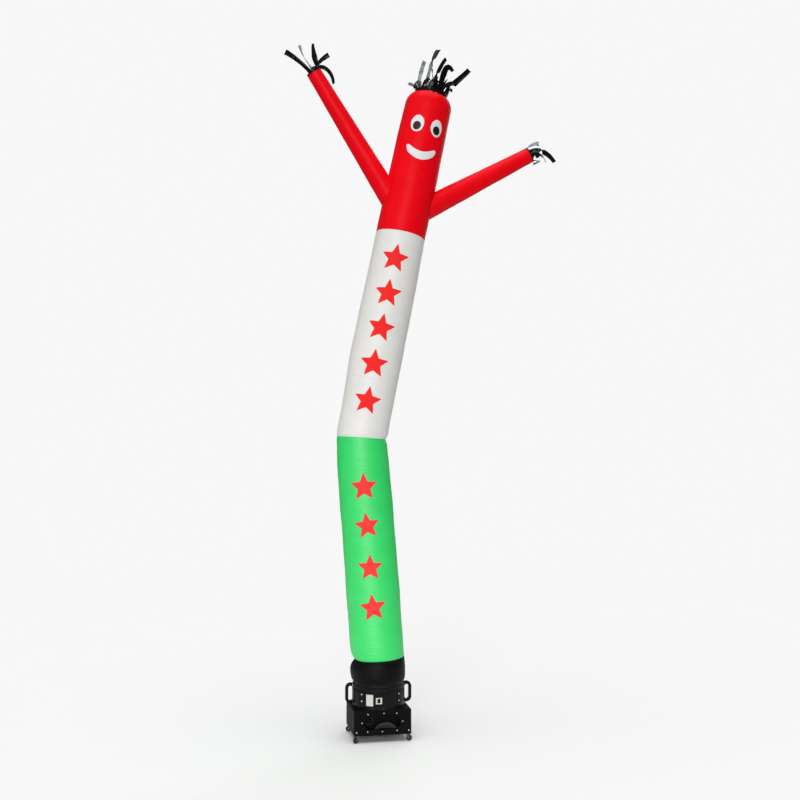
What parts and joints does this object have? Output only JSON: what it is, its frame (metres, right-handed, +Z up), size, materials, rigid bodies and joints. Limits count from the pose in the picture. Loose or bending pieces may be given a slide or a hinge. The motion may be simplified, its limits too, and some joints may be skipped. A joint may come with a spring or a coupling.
{
  "type": "inflatable air dancer",
  "caption": "Leaning cloth tube figure with a smiling face, raised arms and ribbon hair, standing on a wheeled fan blower with grab handles.",
  "frame": {"origin": "middle of the whole object's box in X and Y, on the ground that the casters stand on", "axes": "+Z up along the tube, -Y towards the blower's front and the face, +X to the right seen from the front"},
  "size_m": [2.4727, 0.468, 6.0512],
  "materials": {
    "red_cloth": "semi-gloss coated nylon",
    "white_cloth": "semi-gloss coated nylon",
    "green_cloth": "semi-gloss coated nylon",
    "black_cloth": "matte coated nylon",
    "ribbon": "glossy film ribbon",
    "black_plastic": "moulded, fine grain",
    "black_steel": "black coating",
    "bright_zinc": "bright zinc plating",
    "pale_plastic": "satin",
    "rubber": "matte"
  },
  "bodies": {
    "blower_and_tube": {"arm_left": "red_cloth", "arm_right": "red_cloth", "base": "black_plastic", "blank_plate": "pale_plastic", "body_red": "red_cloth", "bolt_back_left_high": "bright_zinc", "bolt_back_left_low": "bright_zinc", "bolt_back_right_high": "bright_zinc", "bolt_back_right_low": "bright_zinc", "bolt_front_left_high": "bright_zinc", "bolt_front_left_low": "bright_zinc", "bolt_front_right_high": "bright_zinc", "bolt_front_right_low": "bright_zinc", "caster_plate_back_left": "bright_zinc", "caster_plate_back_right": "bright_zinc", "caster_plate_front_left": "bright_zinc", "caster_plate_front_right": "bright_zinc", "corner_bolt_left": "bright_zinc", "corner_bolt_right": "bright_zinc", "drum": "black_plastic", "eye_left": "white_cloth", "eye_right": "white_cloth", "fingers_left": "ribbon", "fingers_right": "ribbon", "guard_screw_1": "bright_zinc", "guard_screw_2": "bright_zinc", "guard_screw_3": "bright_zinc", "guard_screw_4": "bright_zinc", "guard_screw_5": "bright_zinc", "guard_screw_6": "bright_zinc", "guard_screw_7": "bright_zinc", "guard_screw_8": "bright_zinc", "hair": "ribbon", "handle_left": "black_plastic", "handle_right": "black_plastic", "intake_guard": "black_steel", "mouth": "white_cloth", "plate_screw_1": "black_steel", "plate_screw_2": "black_steel", "plate_screw_3": "black_steel", "plate_screw_4": "black_steel", "power_inlet": "black_plastic", "pupil_left": "black_cloth", "pupil_right": "black_cloth", "section_green": "green_cloth", "section_white": "white_cloth", "sleeve": "black_cloth", "switch_bezel": "pale_plastic", "switch_plate": "black_plastic"},
    "swivel_front_left": {"caster_fork_front_left": "bright_zinc"},
    "wheel_front_left": {"caster_wheel_front_left": "rubber"},
    "swivel_front_right": {"caster_fork_front_right": "bright_zinc"},
    "wheel_front_right": {"caster_wheel_front_right": "rubber"},
    "swivel_back_left": {"caster_fork_back_left": "bright_zinc"},
    "wheel_back_left": {"caster_wheel_back_left": "rubber"},
    "swivel_back_right": {"caster_fork_back_right": "bright_zinc"},
    "wheel_back_right": {"caster_wheel_back_right": "rubber"},
    "switch_rocker": {"switch_rocker": "black_plastic"}
  },
  "joints": [
    {"name": "swivel_front_left", "type": "hinge", "parent": "blower_and_tube", "child": "swivel_front_left", "pos_m": [-0.6065, -0.184, 0.055], "axis": [0, 0, 1], "continuous": true},
    {"name": "roll_front_left", "type": "hinge", "parent": "swivel_front_left", "child": "wheel_front_left", "pos_m": [-0.61961, -0.19318, 0.0245], "axis": [-0.5736, 0.8192, 0], "continuous": true},
    {"name": "swivel_front_right", "type": "hinge", "parent": "blower_and_tube", "child": "swivel_front_right", "pos_m": [-0.1785, -0.184, 0.055], "axis": [0, 0, 1], "continuous": true},
    {"name": "roll_front_right", "type": "hinge", "parent": "swivel_front_right", "child": "wheel_front_right", "pos_m": [-0.16464, -0.192, 0.0245], "axis": [-0.5, -0.866, 0], "continuous": true},
    {"name": "swivel_back_left", "type": "hinge", "parent": "blower_and_tube", "child": "swivel_back_left", "pos_m": [-0.6065, 0.184, 0.055], "axis": [0, 0, 1], "continuous": true},
    {"name": "roll_back_left", "type": "hinge", "parent": "swivel_back_left", "child": "wheel_back_left", "pos_m": [-0.621, 0.19076, 0.0245], "axis": [0.4226, 0.9063, 0], "continuous": true},
    {"name": "swivel_back_right", "type": "hinge", "parent": "blower_and_tube", "child": "swivel_back_right", "pos_m": [-0.1785, 0.184, 0.055], "axis": [0, 0, 1], "continuous": true},
    {"name": "roll_back_right", "type": "hinge", "parent": "swivel_back_right", "child": "wheel_back_right", "pos_m": [-0.164, 0.19076, 0.0245], "axis": [0.4226, -0.9063, 0], "continuous": true},
    {"name": "rocker_turn", "type": "hinge", "parent": "blower_and_tube", "child": "switch_rocker", "pos_m": [-0.42848, -0.22814, 0.347], "axis": [0.9997, -0.0262, 0], "range_deg": [-18, 0]}
  ]
}
